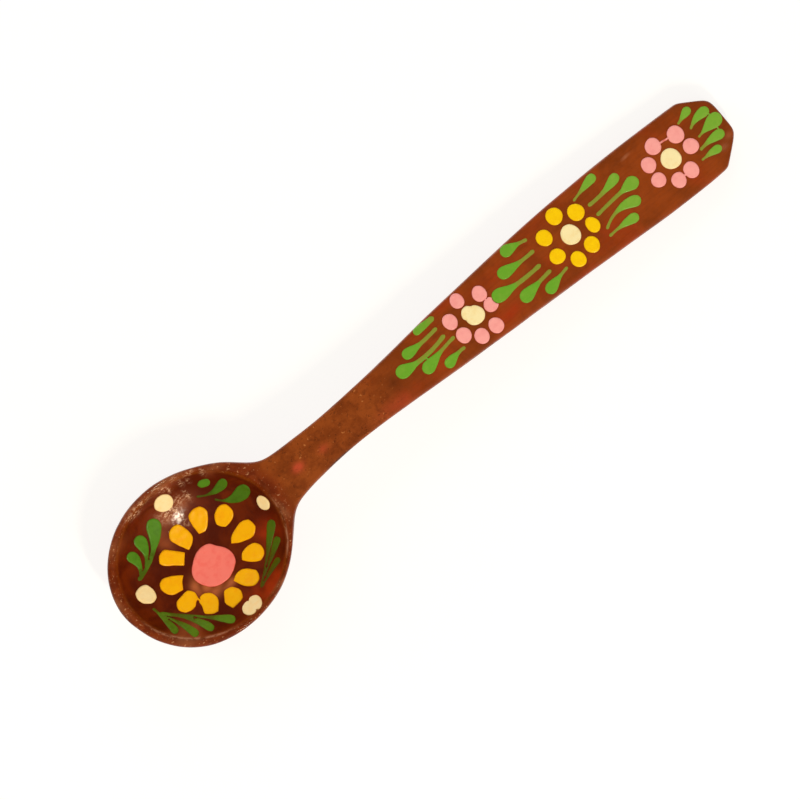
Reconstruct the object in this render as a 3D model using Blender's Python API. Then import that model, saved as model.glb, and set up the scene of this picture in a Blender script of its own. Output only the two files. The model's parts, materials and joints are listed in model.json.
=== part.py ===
"""A hand-carved wooden spoon, decorated with raised dabs of enamel paint.

The spoon is one piece of wood: an oval bowl, a short neck and a flat handle that widens into a paddle.
It lies as it would on a table: +X runs from the bowl to the handle's end, +Y to the handle's left, +Z up,
and the origin is the middle of the small flat under the bowl. The handle slopes down to z = 0 at its end.
Every dab of paint is a separate solid that follows the wood under it, a hair above it.
Sizes below are in millimetres.
"""

import math
import random

import bmesh
import bpy
from mathutils import Vector
from mathutils.bvhtree import BVHTree
from mathutils.geometry import delaunay_2d_cdt

MM = 0.001

# The bowl from above: an oval, with an oval hollow set a little towards the handle.
BOWL_LENGTH, BOWL_WIDTH = 62.0, 54.2
HOLLOW_LENGTH, HOLLOW_WIDTH = 57.8, 51.2
HOLLOW_SHIFT = 0.9
RIM_HEIGHT = 18.0
HOLLOW_DEPTH = 14.0

# Where the carver left the bowl's outline fuller or flatter than an oval: direction and spread in degrees,
# and amount.
SWELLS = ((240, 20, 0.024), (197, 16, -0.016), (48, 8, 0.034))

# The hollow's rings, as shares of its oval, and the two powers that shape its side.
HOLLOW_RINGS = (0.3, 0.55, 0.75, 0.9, 0.975)
HOLLOW_ROUND, HOLLOW_STEEP = 2.2, 0.62
RIM_EDGE_DROP = 0.35

# The bowl's outside, from the rim down to the flat foot: share of the oval, height.
# The first four rows are also the height of the handle's root.
OUTSIDE = (
    (1.0, 17.6),
    (1.006, 15.3),
    (0.985, 11.8),
    (0.93, 8.6),
    (0.79, 5.3),
    (0.6, 2.5),
    (0.42, 0.8),
    (0.3, 0.0),
    (0.15, 0.0),
)
ROOT_ROWS = 4

SECTORS = 24
ROOT_SECTORS = 6

# The handle, as stations from the root to the last one before its end:
# place along X, right edge, left edge, how far the middle stands out towards +X, thickness.
STATIONS = (
    (26.0, -15.4, 17.5, 6.2, 9.3),
    (30.0, -11.0, 13.6, 4.2, 9.1),
    (33.8, -7.4, 10.6, 2.4, 8.8),
    (38.5, -6.1, 9.75, 1.0, 8.4),
    (47.0, -5.1, 9.35, 0.0, 8.0),
    (60.0, -4.35, 9.0, 0.0, 7.7),
    (78.0, -5.25, 9.75, 0.0, 7.4),
    (98.0, -7.0, 11.55, 0.0, 7.2),
    (122.0, -8.6, 12.95, 0.0, 7.0),
    (148.0, -10.1, 14.35, 0.0, 6.8),
    (172.0, -11.8, 14.5, 0.0, 6.6),
    (192.0, -13.3, 13.9, 0.0, 6.5),
    (204.0, -13.5, 13.3, 0.0, 6.4),
)

# The handle's end is cut in three flats: a square one across the tip and two slanting ones.
END_RIGHT_X, END_LEFT_X, END_TIP_X = 209.8, 210.0, 219.1
END_RIGHT, END_LEFT = -13.3, 12.9
END_EDGE = 2.0
END_THICKNESS = 6.4
END_CREASE = 0.25

# Places across the handle, from its right edge to its left one. The two corners of the tip are on the third
# and the fifth.
ACROSS = (-1.0, -0.84, -0.45, 0.0, 0.58, 0.86, 1.0)
TIP_CORNERS = (2, 4)
SIDE_ROWS = (0.3, 0.7)
SIDE_BULGE = 0.35
TOP_CROWN = 0.5

# Paint: its gap to the wood and the least that may be left of it, the height of its edge, its full height,
# how far in from the edge it is full, and the steepest wood whose slope makes it deeper.
PAINT_GAP = 0.15
PAINT_CLEAR = 0.08
PAINT_EDGE = 0.12
PAINT_HEIGHT = 0.4
PAINT_SHOULDER = 0.9
STEEPEST = 0.4

COLOURS = {
    "wood": ((0.30, 0.072, 0.018), 0.35),
    "cream": ((0.95, 0.80, 0.48), 0.4),
    "pink": ((0.98, 0.36, 0.32), 0.4),
    "coral": ((0.98, 0.19, 0.13), 0.4),
    "yellow": ((1.0, 0.48, 0.0), 0.4),
    "green": ((0.13, 0.33, 0.03), 0.45),
}

# Dots on the handle, three flowers of seven round a cream middle: place, width along X, width along Y.
FLOWERS = {
    "near_flower": (
        "pink",
        (116.9, 2.5, 6.4, 6.5),
        (
            (109.4, 5.9, 4.8, 5.4),
            (115.4, 9.6, 4.6, 5.0),
            (122.4, 6.8, 4.8, 5.3),
            (123.1, 1.8, 4.8, 4.9),
            (120.1, -4.4, 4.9, 5.2),
            (114.4, -4.1, 4.7, 5.3),
            (110.1, -0.2, 4.8, 5.4),
        ),
    ),
    "middle_flower": (
        "yellow",
        (157.0, 2.5, 6.4, 6.8),
        (
            (149.8, 7.1, 5.2, 5.6),
            (156.7, 10.4, 5.6, 5.6),
            (162.9, 6.9, 5.4, 5.8),
            (164.5, 0.4, 4.4, 5.5),
            (160.2, -4.3, 5.0, 5.6),
            (153.9, -5.1, 4.9, 5.4),
            (149.3, -0.1, 5.2, 5.2),
        ),
    ),
    "end_flower": (
        "pink",
        (197.3, 0.5, 6.8, 6.7),
        (
            (195.4, 7.2, 5.3, 5.6),
            (203.4, 5.5, 5.6, 5.8),
            (204.8, -0.5, 5.1, 5.3),
            (200.0, -6.4, 5.1, 5.5),
            (194.9, -6.4, 4.9, 5.2),
            (189.9, -2.2, 4.8, 5.0),
            (190.5, 3.5, 4.9, 5.3),
        ),
    ),
}

# How much wider a stroke's tail is where it leaves the head, as a share of its radius.
TAIL_FLARE = 0.35

# Green comma strokes: head, head's radius, tail's end, sideways bow of the stroke, tail's radius, and the
# share of the stroke over which the head runs out into the tail.
SPRAYS = {
    "neck_spray": (
        (99.3, 10.4, 1.25, 105.7, 10.5, 0.0, 0.9, 0.9),
        (92.4, 6.8, 1.85, 104.6, 7.2, -0.3, 0.6, 0.45),
        (87.6, 3.4, 2.3, 105.0, 3.8, -1.0, 0.65, 0.33),
        (94.8, -0.9, 2.15, 107.2, 1.4, 0.3, 0.55, 0.56),
        (101.0, -4.1, 1.75, 107.7, -3.3, 0.3, 0.55, 0.7),
    ),
    "near_spray": (
        (137.7, 11.75, 2.0, 145.0, 10.4, 0.2, 0.55, 0.7),
        (132.6, 6.9, 2.1, 144.4, 6.2, -0.3, 0.6, 0.58),
        (126.8, 2.3, 2.35, 143.0, 1.4, -0.5, 0.65, 0.42),
        (133.5, -3.5, 2.2, 144.5, -2.1, 0.1, 0.6, 0.6),
        (141.2, -6.6, 1.95, 149.3, -4.8, 0.1, 0.5, 0.7),
    ),
    "far_spray": (
        (173.7, 12.1, 1.55, 164.8, 10.2, -0.1, 0.4, 0.8),
        (179.4, 7.4, 1.65, 167.6, 5.9, 0.5, 0.6, 0.55),
        (182.8, 2.6, 2.25, 167.7, 1.8, -0.2, 0.55, 0.34),
        (179.9, -2.5, 1.9, 167.3, -3.5, -1.7, 0.45, 0.66),
        (176.1, -6.4, 1.65, 166.5, -5.9, -0.3, 0.42, 0.7),
    ),
    "end_spray": (
        (211.0, 9.0, 1.45, 206.3, 7.6, 0.0, 0.4, 0.85),
        (215.2, 5.3, 1.7, 208.4, 3.8, -0.6, 0.4, 1.0),
        (216.2, 1.1, 2.45, 208.6, 0.1, -0.1, 0.35, 0.9),
        (214.4, -3.4, 1.7, 206.6, -3.4, -0.3, 0.5, 0.85),
        (210.9, -6.7, 1.4, 204.7, -6.3, -0.2, 0.35, 0.9),
    ),
}

# Yellow petals in the bowl, brushed freely: the corners of each one's outline.
PETALS = (
    (
        (-4.1, 10.1), (-3, 12), (-1, 12.8), (1, 12.4), (1.9, 10),
        (2.1, 6.5), (0.8, 4.9), (-1.6, 3.7), (-3.2, 7),
    ),
    ((4.2, 5.6), (4.3, 9), (5.3, 12.2), (7.8, 12.9), (10.1, 12.3), (10.9, 9.8), (8.7, 6.6), (6.4, 5.1)),
    (
        (10.5, 4.2), (11.2, 6.2), (12.8, 7.7), (15, 8.4),
        (17, 7.3), (17.2, 4.2), (15.8, 2.6), (12.2, 1.9),
    ),
    (
        (10.1, -3.4), (11.5, -1.8), (14, -0.7), (17, -0.1),
        (19.4, -1), (19.7, -4), (17.4, -6), (13.4, -5.3),
    ),
    (
        (9.4, -9.7), (10.7, -8.1), (13.4, -7.4), (16, -8),
        (17.2, -10), (16.2, -12.7), (14, -13.6), (11, -11.7),
    ),
    (
        (3, -13), (5.2, -11.9), (7.6, -12), (9.6, -13.5),
        (10.9, -15.3), (10, -17.7), (7.6, -18.5), (5, -16.8),
    ),
    (
        (-3.5, -16.8), (-2.6, -15.2), (-1.2, -13.6), (1.5, -14.3),
        (2.9, -16.8), (1.9, -19.1), (-2.6, -19.7),
    ),
    (
        (-10.7, -15.1), (-9.9, -12.8), (-9.7, -11), (-8.6, -10.2), (-7.2, -10),
        (-5.1, -11.3), (-4.4, -14), (-6.9, -17.4), (-9.0, -16.8),
    ),
    (
        (-16.4, -8.8), (-15.4, -6.7), (-13, -6.1), (-10.2, -6), (-8.9, -7.8),
        (-9.1, -10), (-10.3, -10.5), (-11.6, -11.5), (-15, -11.1),
    ),
    (
        (-16.5, -0.8), (-15.9, 1.2), (-14.2, 2), (-11.8, 1.2),
        (-8.1, -1.3), (-9.7, -2.6), (-11.2, -4.9), (-15.2, -3.7),
    ),
    (
        (-11.6, 6.4), (-10, 8.5), (-7.7, 8.9), (-5.8, 7), (-3.1, 4),
        (-4.5, 2.5), (-6, 0.9), (-8.6, 3.1), (-10.9, 4.9),
    ),
)

# The middle of the bowl's flower and the dot at its tip, drawn in the same way.
BOWL_MIDDLE = (
    (-6.3, -4.5), (-5.7, -2.6), (-3.5, -0.4), (-0.6, 1.4), (2, 1.9), (4.6, 1.2), (6.2, -1), (7.8, -3.2),
    (8.5, -6), (7.8, -8.3), (5.8, -10), (3, -11.3), (0, -11.4), (-3, -10.4), (-5.4, -7.8),
)
TIP_DOT = (
    (-24.1, 2), (-23.5, 4), (-21.5, 4.7), (-19.2, 4),
    (-18.5, 1.3), (-19.2, -1.3), (-21, -1.8), (-23.2, -0.4),
)

# The three rounder dots in the bowl: place, width along X, width along Y.
BOWL_DOTS = {
    "bowl_dot_1": (2.0, 20.4, 6.5, 5.3),
    "bowl_dot_3": (26.5, 0.0, 3.6, 5.2),
    "bowl_dot_4": (1.6, -23.0, 5.0, 4.4),
}

# Green leaves in the bowl, as the strokes above.
BOWL_LEAVES = {
    "tip_left_leaves": (
        (-5.2, 16.9, 2.4, -19.7, 6.7, 1.9, 0.6, 0.5),
        (-11.7, 15.8, 2.05, -15.4, 8.4, 0.8, 0.55, 0.7),
        (-16.8, 13.6, 1.8, -18.5, 7.2, 0.8, 0.6, 0.7),
    ),
    "neck_left_dab": ((16.7, 16.7, 1.25, 14.8, 17.5, 0.0, 1.1, 1.0),),
    "neck_left_leaf": ((20.5, 13.1, 1.6, 11.4, 15.2, 1.1, 0.3, 0.75),),
    "neck_middle_leaf": ((23.8, 6.9, 2.4, 15.3, 10.8, 1.4, 0.3, 0.85),),
    "neck_right_leaves": (
        (24.2, -6.8, 1.35, 8.7, -20.3, 0.2, 0.35, 0.62),
        (22.3, -11.9, 1.1, 11.0, -18.5, 0.1, 0.35, 0.75),
        (18.3, -17.0, 0.9, 9.2, -20.1, -0.1, 0.35, 0.9),
    ),
    "tip_right_leaves": (
        (-21.3, -13.1, 1.15, -22.3, -3.3, -0.2, 0.35, 0.95),
        (-16.9, -17.9, 1.25, -21.7, -6.5, -0.5, 0.35, 0.75),
        (-12.0, -19.7, 1.25, -21.6, -6.5, -1.1, 0.35, 0.7),
        (-5.2, -22.0, 1.35, -21.4, -6.0, 0.0, 0.35, 0.4),
    ),
}

# Second touches of the stick that made a dot longer.
SECOND_TOUCHES = {
    "near_flower_middle": (115.8, 4.0, 5.0, 5.2),
    "bowl_dot_4": (4.1, -22.8, 4.4, 4.7),
}

# A dot partly covered by a stroke: what is left of it stops just short of the stroke.
COVERED = {"near_flower_dot_3": "near_spray_stroke_3"}
COVER_GAP = 0.12

# Marks of one colour that touch, or come within half a millimetre of it, and so are one piece here.
RUN_TOGETHER = {
    "near_flower_dot_3": ("near_flower_dot_4",),
    "end_flower_dot_1": ("end_flower_dot_2",),
    "end_flower_dot_4": ("end_flower_dot_5",),
    "neck_spray_stroke_3": ("neck_spray_stroke_4",),
    "end_spray_stroke_2": ("end_spray_stroke_3", "end_spray_stroke_4"),
    "bowl_petal_08": ("bowl_petal_09",),
}
# The paint where two of them meet: from, to.
THREADS = {
    "near_flower_dot_3": ((122.6, 5.0), (122.8, 3.6)),
    "end_flower_dot_1": ((197.4, 6.7), (201.2, 6.1)),
    "end_flower_dot_4": ((198.0, -6.4), (197.0, -6.4)),
    "neck_spray_stroke_3": ((96.0, 2.6), (96.6, 0.4)),
    "end_spray_stroke_2": ((216.0, 4.9), (215.0, -3.0)),
    "bowl_petal_08": ((-9.3, -10.9), (-9.4, -9.9)),
}
THREAD_RADIUS = 0.3


# ---------------------------------------------------------------- scene


def clear_scene():
    for obj in list(bpy.data.objects):
        bpy.data.objects.remove(obj)


def new_object(name, mesh, colour):
    obj = bpy.data.objects.new(name, mesh)
    bpy.context.scene.collection.objects.link(obj)
    obj.data.materials.append(material(colour))
    return obj


def material(colour):
    found = bpy.data.materials.get(colour)
    if found:
        return found
    made = bpy.data.materials.new(colour)
    made.use_nodes = True
    shader = made.node_tree.nodes["Principled BSDF"]
    rgb, roughness = COLOURS[colour]
    shader.inputs["Base Color"].default_value = (*rgb, 1.0)
    shader.inputs["Roughness"].default_value = roughness
    shader.inputs["Metallic"].default_value = 0.0
    return made


# ---------------------------------------------------------------- wood


def oval_point(length, width, share, sector, shift=0.0):
    """A point of an oval ring. Rings are drawn slightly large, because subdivision pulls them in."""
    angle = 2 * math.pi * sector / SECTORS
    grow = 3 / (2 + math.cos(2 * math.pi / SECTORS))
    x = shift + length / 2 * share * grow * math.cos(angle)
    y = width / 2 * share * grow * math.sin(angle)
    return x, y


def outside_point(share, sector):
    """A point of the bowl's outside, with the carver's swells."""
    x, y = oval_point(BOWL_LENGTH, BOWL_WIDTH, share, sector)
    degrees = 360 * (sector % SECTORS) / SECTORS
    swell = sum(amount * math.exp(-(((degrees - place) / spread) ** 2)) for place, spread, amount in SWELLS)
    return x * (1 + swell), y * (1 + swell)


def hollow_height(share):
    return RIM_HEIGHT - HOLLOW_DEPTH * (1 - share**HOLLOW_ROUND) ** HOLLOW_STEEP


def handle_top(x):
    """The middle of the handle's top, a straight slope from the rim to the end."""
    start = BOWL_LENGTH / 2
    fall = (RIM_HEIGHT - END_THICKNESS) / (END_TIP_X - start)
    return RIM_HEIGHT - fall * (x - start)


def bowl_rings(bm):
    """Rings of vertices from the hollow over the rim to the foot, and the index of the first outside row."""
    sectors = range(SECTORS)
    rings = []
    for share in HOLLOW_RINGS:
        points = (oval_point(HOLLOW_LENGTH, HOLLOW_WIDTH, share, s, HOLLOW_SHIFT) for s in sectors)
        rings.append([bm.verts.new((x, y, hollow_height(share))) for x, y in points])
    edge = [oval_point(HOLLOW_LENGTH, HOLLOW_WIDTH, 1.0, s, HOLLOW_SHIFT) for s in sectors]
    brim = [outside_point(1.0, s) for s in sectors]
    rings.append([bm.verts.new((x, y, RIM_HEIGHT - RIM_EDGE_DROP)) for x, y in edge])
    land = [((a + c) / 2, (b + d) / 2) for (a, b), (c, d) in zip(edge, brim)]
    rings.append([bm.verts.new((x, y, RIM_HEIGHT)) for x, y in land])
    first_row = len(rings)
    for share, height in OUTSIDE:
        points = (outside_point(share, s) for s in sectors)
        rings.append([bm.verts.new((x, y, height)) for x, y in points])
    return rings, first_row


def root_ring(rings, first_row):
    """The loop of bowl vertices that the handle grows from, in the order of a handle section."""
    half = ROOT_SECTORS // 2
    rows = rings[first_row : first_row + ROOT_ROWS]
    columns = range(-half, half + 1)
    top = [rows[0][c] for c in columns]
    for vertex in top[1:-1]:
        vertex.co.z = RIM_HEIGHT
    bottom = [rows[-1][c] for c in reversed(columns)]
    left = [row[half] for row in rows[1:-1]]
    right = [row[-half] for row in reversed(rows[1:-1])]
    return top + left + bottom + right


def section_ring(bm, xs, ys, top, thickness):
    """One loop round the handle: over the top from right to left, down, back underneath and up again."""
    count = len(ACROSS)
    over = [
        (xs[i], ys[i], top + TOP_CROWN * (1 - ACROSS[i] ** 2)) for i in range(count)
    ]
    under = [(xs[i], ys[i], top - thickness) for i in reversed(range(count))]
    left = [(xs[-1], ys[-1] + SIDE_BULGE, top - thickness * share) for share in SIDE_ROWS]
    right = [
        (xs[0], ys[0] - SIDE_BULGE, top - thickness * share) for share in reversed(SIDE_ROWS)
    ]
    return [bm.verts.new(p) for p in over + left + under + right]


def end_point(i):
    """Where the handle's end is, at one of the places across it."""
    place = ACROSS[i]
    on_right = place < 0
    side_x = END_RIGHT_X if on_right else END_LEFT_X
    corner = abs(ACROSS[TIP_CORNERS[0 if on_right else 1]])
    share = min(1.0, (1 - abs(place)) / (1 - corner))
    return side_x + (END_TIP_X - side_x) * share


def handle_rings(bm):
    rings = []
    for x, right, left, reach, thickness in STATIONS:
        middle, half = (left + right) / 2, (left - right) / 2
        xs = [x + reach * (1 - v * v) for v in ACROSS]
        ys = [middle + half * v for v in ACROSS]
        rings.append(section_ring(bm, xs, ys, handle_top(x), thickness))
    middle, half = (END_LEFT + END_RIGHT) / 2, (END_LEFT - END_RIGHT) / 2
    ys = [middle + half * v for v in ACROSS]
    for back in (END_EDGE, 0.0):
        xs = [end_point(i) - back for i in range(len(ACROSS))]
        ring = section_ring(bm, xs, ys, 0.0, END_THICKNESS)
        for vertex in ring:
            vertex.co.z += handle_top(vertex.co.x)
        rings.append(ring)
    return rings


def bridge(bm, ring_a, ring_b, skip=()):
    """Quads between two rings of equal length, leaving out the spans in skip."""
    count = len(ring_a)
    for i in range(count):
        if i in skip:
            continue
        j = (i + 1) % count
        bm.faces.new((ring_a[i], ring_a[j], ring_b[j], ring_b[i]))


def close_end(bm, ring, crease):
    """The three upright flats at the handle's end, as a grid between the last ring's top and bottom."""
    count = len(ACROSS)
    rows_inside = len(SIDE_ROWS)
    top = ring[:count]
    left = ring[count : count + rows_inside]
    bottom = list(reversed(ring[count + rows_inside : 2 * count + rows_inside]))
    right = list(reversed(ring[2 * count + rows_inside :]))
    grid = [top]
    for row in range(rows_inside):
        share = SIDE_ROWS[row]
        inner = [
            bm.verts.new(top[i].co.lerp(bottom[i].co, share)) for i in range(1, count - 1)
        ]
        grid.append([right[row], *inner, left[row]])
    grid.append(bottom)
    for above, below in zip(grid, grid[1:]):
        for i in range(count - 1):
            bm.faces.new((above[i], above[i + 1], below[i + 1], below[i]))
    for above, below in zip(grid, grid[1:]):
        for i in TIP_CORNERS:
            bm.edges.get((above[i], below[i]))[crease] = END_CREASE


def spoon_body():
    """The wood, as a coarse cage that one step of subdivision rounds off."""
    bm = bmesh.new()
    crease = bm.edges.layers.float.new("crease_edge")
    rings, first_row = bowl_rings(bm)
    half = ROOT_SECTORS // 2
    window = [(s % SECTORS) for s in range(-half, half)]
    for i, (ring_a, ring_b) in enumerate(zip(rings, rings[1:])):
        in_root = first_row <= i < first_row + ROOT_ROWS - 1
        bridge(bm, ring_a, ring_b, window if in_root else ())
    for ring, height in ((rings[0], hollow_height(0.0)), (rings[-1], 0.0)):
        centre = sum((v.co for v in ring), Vector()) / len(ring)
        pole = bm.verts.new((centre.x, centre.y, height))
        for i in range(SECTORS):
            bm.faces.new((ring[i], ring[(i + 1) % SECTORS], pole))
    loops = [root_ring(rings, first_row), *handle_rings(bm)]
    for ring_a, ring_b in zip(loops, loops[1:]):
        bridge(bm, ring_a, ring_b)
    close_end(bm, loops[-1], crease)
    bmesh.ops.recalc_face_normals(bm, faces=bm.faces)
    bmesh.ops.scale(bm, vec=(MM, MM, MM), verts=bm.verts)
    mesh = bpy.data.meshes.new("spoon_body")
    bm.to_mesh(mesh)
    bm.free()
    mesh.shade_smooth()
    body = new_object("spoon_body", mesh, "wood")
    rounding = body.modifiers.new("rounding", "SUBSURF")
    rounding.levels = rounding.render_levels = 1
    return body


# ---------------------------------------------------------------- paint


def dot_outline(x, y, width, height, points=10):
    """A dab put down with a round stick: nearly an oval. Returns its outline and the points inside it."""
    chance = random.Random(round(x * 10) * 1000 + round(y * 10))
    phase = [chance.uniform(0, 2 * math.pi) for _ in range(2)]
    outline = []
    for k in range(points):
        angle = 2 * math.pi * k / points
        wobble = 1 + 0.02 * math.cos(2 * angle + phase[0]) + 0.02 * math.cos(3 * angle + phase[1])
        outline.append(
            (x + width / 2 * wobble * math.cos(angle), y + height / 2 * wobble * math.sin(angle))
        )
    return outline, [(x, y)]


def drawn_outline(corners):
    """A freely brushed shape from the corners of its outline, and the point in its middle."""
    count = len(corners)
    middle = (sum(x for x, _ in corners) / count, sum(y for _, y in corners) / count)
    outline = list(corners)
    area = sum(a[0] * b[1] - b[0] * a[1] for a, b in zip(outline, outline[1:] + outline[:1]))
    if area < 0:
        outline.reverse()
    return outline, [middle]


def stroke_outline(x, y, head, tail_x, tail_y, bow, tail, taper, steps=7):
    """A comma stroke: a round head that runs out into a thin tail along a bowed line."""
    start, end = Vector((x, y)), Vector((tail_x, tail_y))
    along = (end - start).normalized()
    side = Vector((-along.y, along.x))
    bend = (start + end) / 2 + side * (2 * bow)

    def centre(t):
        return start * (1 - t) ** 2 + bend * (2 * t * (1 - t)) + end * t**2

    def direction(t):
        return ((bend - start) * (1 - t) + (end - bend) * t).normalized()

    def radius(t):
        s = min(1.0, t / taper)
        thin = tail * (1 + TAIL_FLARE * (1 - t))
        return thin + (head - thin) * (1 - s) ** 2 * (1 + 2 * s)

    left, right, spine = [], [], []
    for k in range(steps + 1):
        t = k / steps
        point, forward = centre(t), direction(t)
        out = Vector((-forward.y, forward.x)) * radius(t)
        left.append(tuple(point + out))
        right.append(tuple(point - out))
        spine.append(tuple(point))
    tip = [tuple(end + direction(1.0) * tail)]
    back, out = direction(0.0) * -head, Vector((-direction(0.0).y, direction(0.0).x)) * head
    turns = (0.25, 0.5, 0.75)
    cap = [
        tuple(start + out * math.cos(math.pi * s) + back * math.sin(math.pi * s)) for s in turns
    ]
    return right + tip + left[::-1] + cap, spine[:-1]


def thread_outline(start, end):
    """A thin run of paint between two dabs."""
    a, b = Vector(start), Vector(end)
    out = Vector((-(b - a).y, (b - a).x)).normalized() * THREAD_RADIUS
    return [tuple(a + out), tuple(a - out), tuple(b - out), tuple(b + out)], []


def inside(point, polygon):
    """Whether a point is inside a closed polygon."""
    x, y = point
    found = False
    for (x0, y0), (x1, y1) in zip(polygon, polygon[1:] + polygon[:1]):
        if (y0 > y) != (y1 > y) and x < x0 + (x1 - x0) * (y - y0) / (y1 - y0):
            found = not found
    return found


def grown(outline, distance):
    """An outline moved outwards by a small distance."""
    moved = []
    for before, here, after in zip(outline[-1:] + outline[:-1], outline, outline[1:] + outline[:1]):
        along = (Vector(after) - Vector(before)).normalized()
        moved.append(tuple(Vector(here) + Vector((along.y, -along.x)) * distance))
    return moved


def flat_union(shapes, covers=()):
    """Points and triangles of the area that the outlines take up together, without the covered part."""
    points, loops = [], []
    for outline, _ in [*shapes, *((cover, []) for cover in covers)]:
        loops.append(list(range(len(points), len(points) + len(outline))))
        points += [Vector(p) for p in outline]
    edges = [(a, b) for loop in loops for a, b in zip(loop, loop[1:] + loop[:1])]
    points += [Vector(p) for _, inner in shapes for p in inner]
    points, _, faces, *_ = delaunay_2d_cdt(points, edges, [], 0, 0.02)
    outlines = [outline for outline, _ in shapes]
    kept = []
    for face in faces:
        middle = sum((points[i] for i in face), Vector((0, 0))) / 3
        covered = any(inside(middle, cover) for cover in covers)
        if not covered and any(inside(middle, outline) for outline in outlines):
            kept.append(tuple(face))
    return points, kept


def border_of(faces):
    """The edges that only one triangle uses, each in that triangle's direction."""
    directed = {(f[k], f[(k + 1) % 3]) for f in faces for k in range(3)}
    return [(a, b) for a, b in directed if (b, a) not in directed]


def distance_to_border(point, points, border):
    best = 1e9
    for a, b in border:
        start, run = points[a], points[b] - points[a]
        share = max(0.0, min(1.0, (point - start).dot(run) / run.length_squared))
        best = min(best, (point - start - run * share).length)
    return best


def paint_height(distance):
    """A dab's height above its underside: a low edge that rises to a rounded top."""
    share = min(1.0, distance / PAINT_SHOULDER)
    return PAINT_EDGE + (PAINT_HEIGHT - PAINT_EDGE) * math.sqrt(1 - (1 - share) ** 2)


def surface_tree(obj):
    """The finished wood surface, to drop paint on."""
    graph = bpy.context.evaluated_depsgraph_get()
    return BVHTree.FromObject(obj, graph)


def wood_below(wood, x, y):
    """The height of the wood and its upward normal at a place seen from above."""
    above = Vector((x, y, 2 * RIM_HEIGHT * MM))
    place, normal, *_ = wood.ray_cast(above, Vector((0, 0, -1)))
    return place.z, normal


def lift_clear(vertices, faces, wood):
    """Raises an underside wherever the middle of a triangle or of its sides comes too close to the wood."""
    shares = ((1 / 3, 1 / 3, 1 / 3), (0.5, 0.5, 0.0), (0.0, 0.5, 0.5), (0.5, 0.0, 0.5))
    for face in faces:
        corners = [vertices[i] for i in face]
        for weights in shares:
            spot = sum((v.co * w for v, w in zip(corners, weights)), Vector())
            short = wood_below(wood, spot.x, spot.y)[0] + PAINT_CLEAR * MM - spot.z
            if short > 0:
                for vertex in corners:
                    vertex.co.z += short


def paint(name, colour, shapes, covers, wood):
    """One dab: its flat area dropped on the wood, given a domed top, an underside and a thin edge."""
    points, faces = flat_union(shapes, covers)
    border = border_of(faces)
    on_border = {i for edge in border for i in edge}
    bm = bmesh.new()
    lower, slopes = {}, {}
    for i in sorted({i for face in faces for i in face}):
        x, y = points[i] * MM
        height, normal = wood_below(wood, x, y)
        slopes[i] = 1 / max(normal.z, STEEPEST)
        lower[i] = bm.verts.new((x, y, height + PAINT_GAP * slopes[i] * MM))
    lift_clear(lower, faces, wood)
    upper = {}
    for i, vertex in lower.items():
        rise = 0.0 if i in on_border else distance_to_border(points[i], points, border)
        thickness = Vector((0, 0, paint_height(rise) * slopes[i] * MM))
        upper[i] = bm.verts.new(vertex.co + thickness)
    for a, b, c in faces:
        bm.faces.new((upper[a], upper[b], upper[c]))
        bm.faces.new((lower[c], lower[b], lower[a]))
    for a, b in border:
        bm.faces.new((upper[b], upper[a], lower[a], lower[b]))
    mesh = bpy.data.meshes.new(name)
    bm.to_mesh(mesh)
    bm.free()
    mesh.shade_smooth()
    mesh.set_sharp_from_angle(angle=math.radians(50))
    return new_object(name, mesh, colour)


def marks():
    """Every dab's name, colour and outlines, before those that have run together are joined."""
    found = {"bowl_flower_middle": ("coral", [drawn_outline(BOWL_MIDDLE)])}
    for k, corners in enumerate(PETALS, 1):
        found[f"bowl_petal_{k:02d}"] = ("yellow", [drawn_outline(corners)])
    found["bowl_dot_2"] = ("cream", [drawn_outline(TIP_DOT)])
    for name, row in BOWL_DOTS.items():
        found[name] = ("cream", [dot_outline(*row)])
    for name, rows in BOWL_LEAVES.items():
        found[f"bowl_{name}"] = ("green", [stroke_outline(*row) for row in rows])
    for flower, (colour, middle, dots) in FLOWERS.items():
        found[f"{flower}_middle"] = ("cream", [dot_outline(*middle, points=12)])
        for k, row in enumerate(dots, 1):
            found[f"{flower}_dot_{k}"] = (colour, [dot_outline(*row)])
    for spray, rows in SPRAYS.items():
        for k, row in enumerate(rows, 1):
            found[f"{spray}_stroke_{k}"] = ("green", [stroke_outline(*row)])
    return found


def joined_marks():
    found = marks()
    for name, row in SECOND_TOUCHES.items():
        found[name][1].append(dot_outline(*row))
    for name, others in RUN_TOGETHER.items():
        shapes = found[name][1]
        for other in others:
            shapes += found.pop(other)[1]
        shapes.append(thread_outline(*THREADS[name]))
    return found


def main():
    clear_scene()
    body = spoon_body()
    wood = surface_tree(body)
    dabs = joined_marks()
    for name, (colour, shapes) in dabs.items():
        covers = []
        if name in COVERED:
            covers = [grown(outline, COVER_GAP) for outline, _ in dabs[COVERED[name]][1]]
        paint(name, colour, shapes, covers, wood)


main()
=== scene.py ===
"""Looks of a hand-carved wooden spoon with raised dabs of enamel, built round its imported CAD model.

The wood and every dab are remodelled finely in the place of their CAD solids: the wood from the same cage
as its CAD solid with more subdivision, each dab from its CAD solid's own outline. Sizes here are in
millimetres, in the row's frame: +X from the bowl to the handle's end, +Z up, the origin under the middle
of the bowl.
"""

import bpy
import bmesh
import json
import math
from collections import Counter
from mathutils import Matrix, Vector, noise
from mathutils.bvhtree import BVHTree
from mathutils.geometry import delaunay_2d_cdt
from mathutils.kdtree import KDTree


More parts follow.
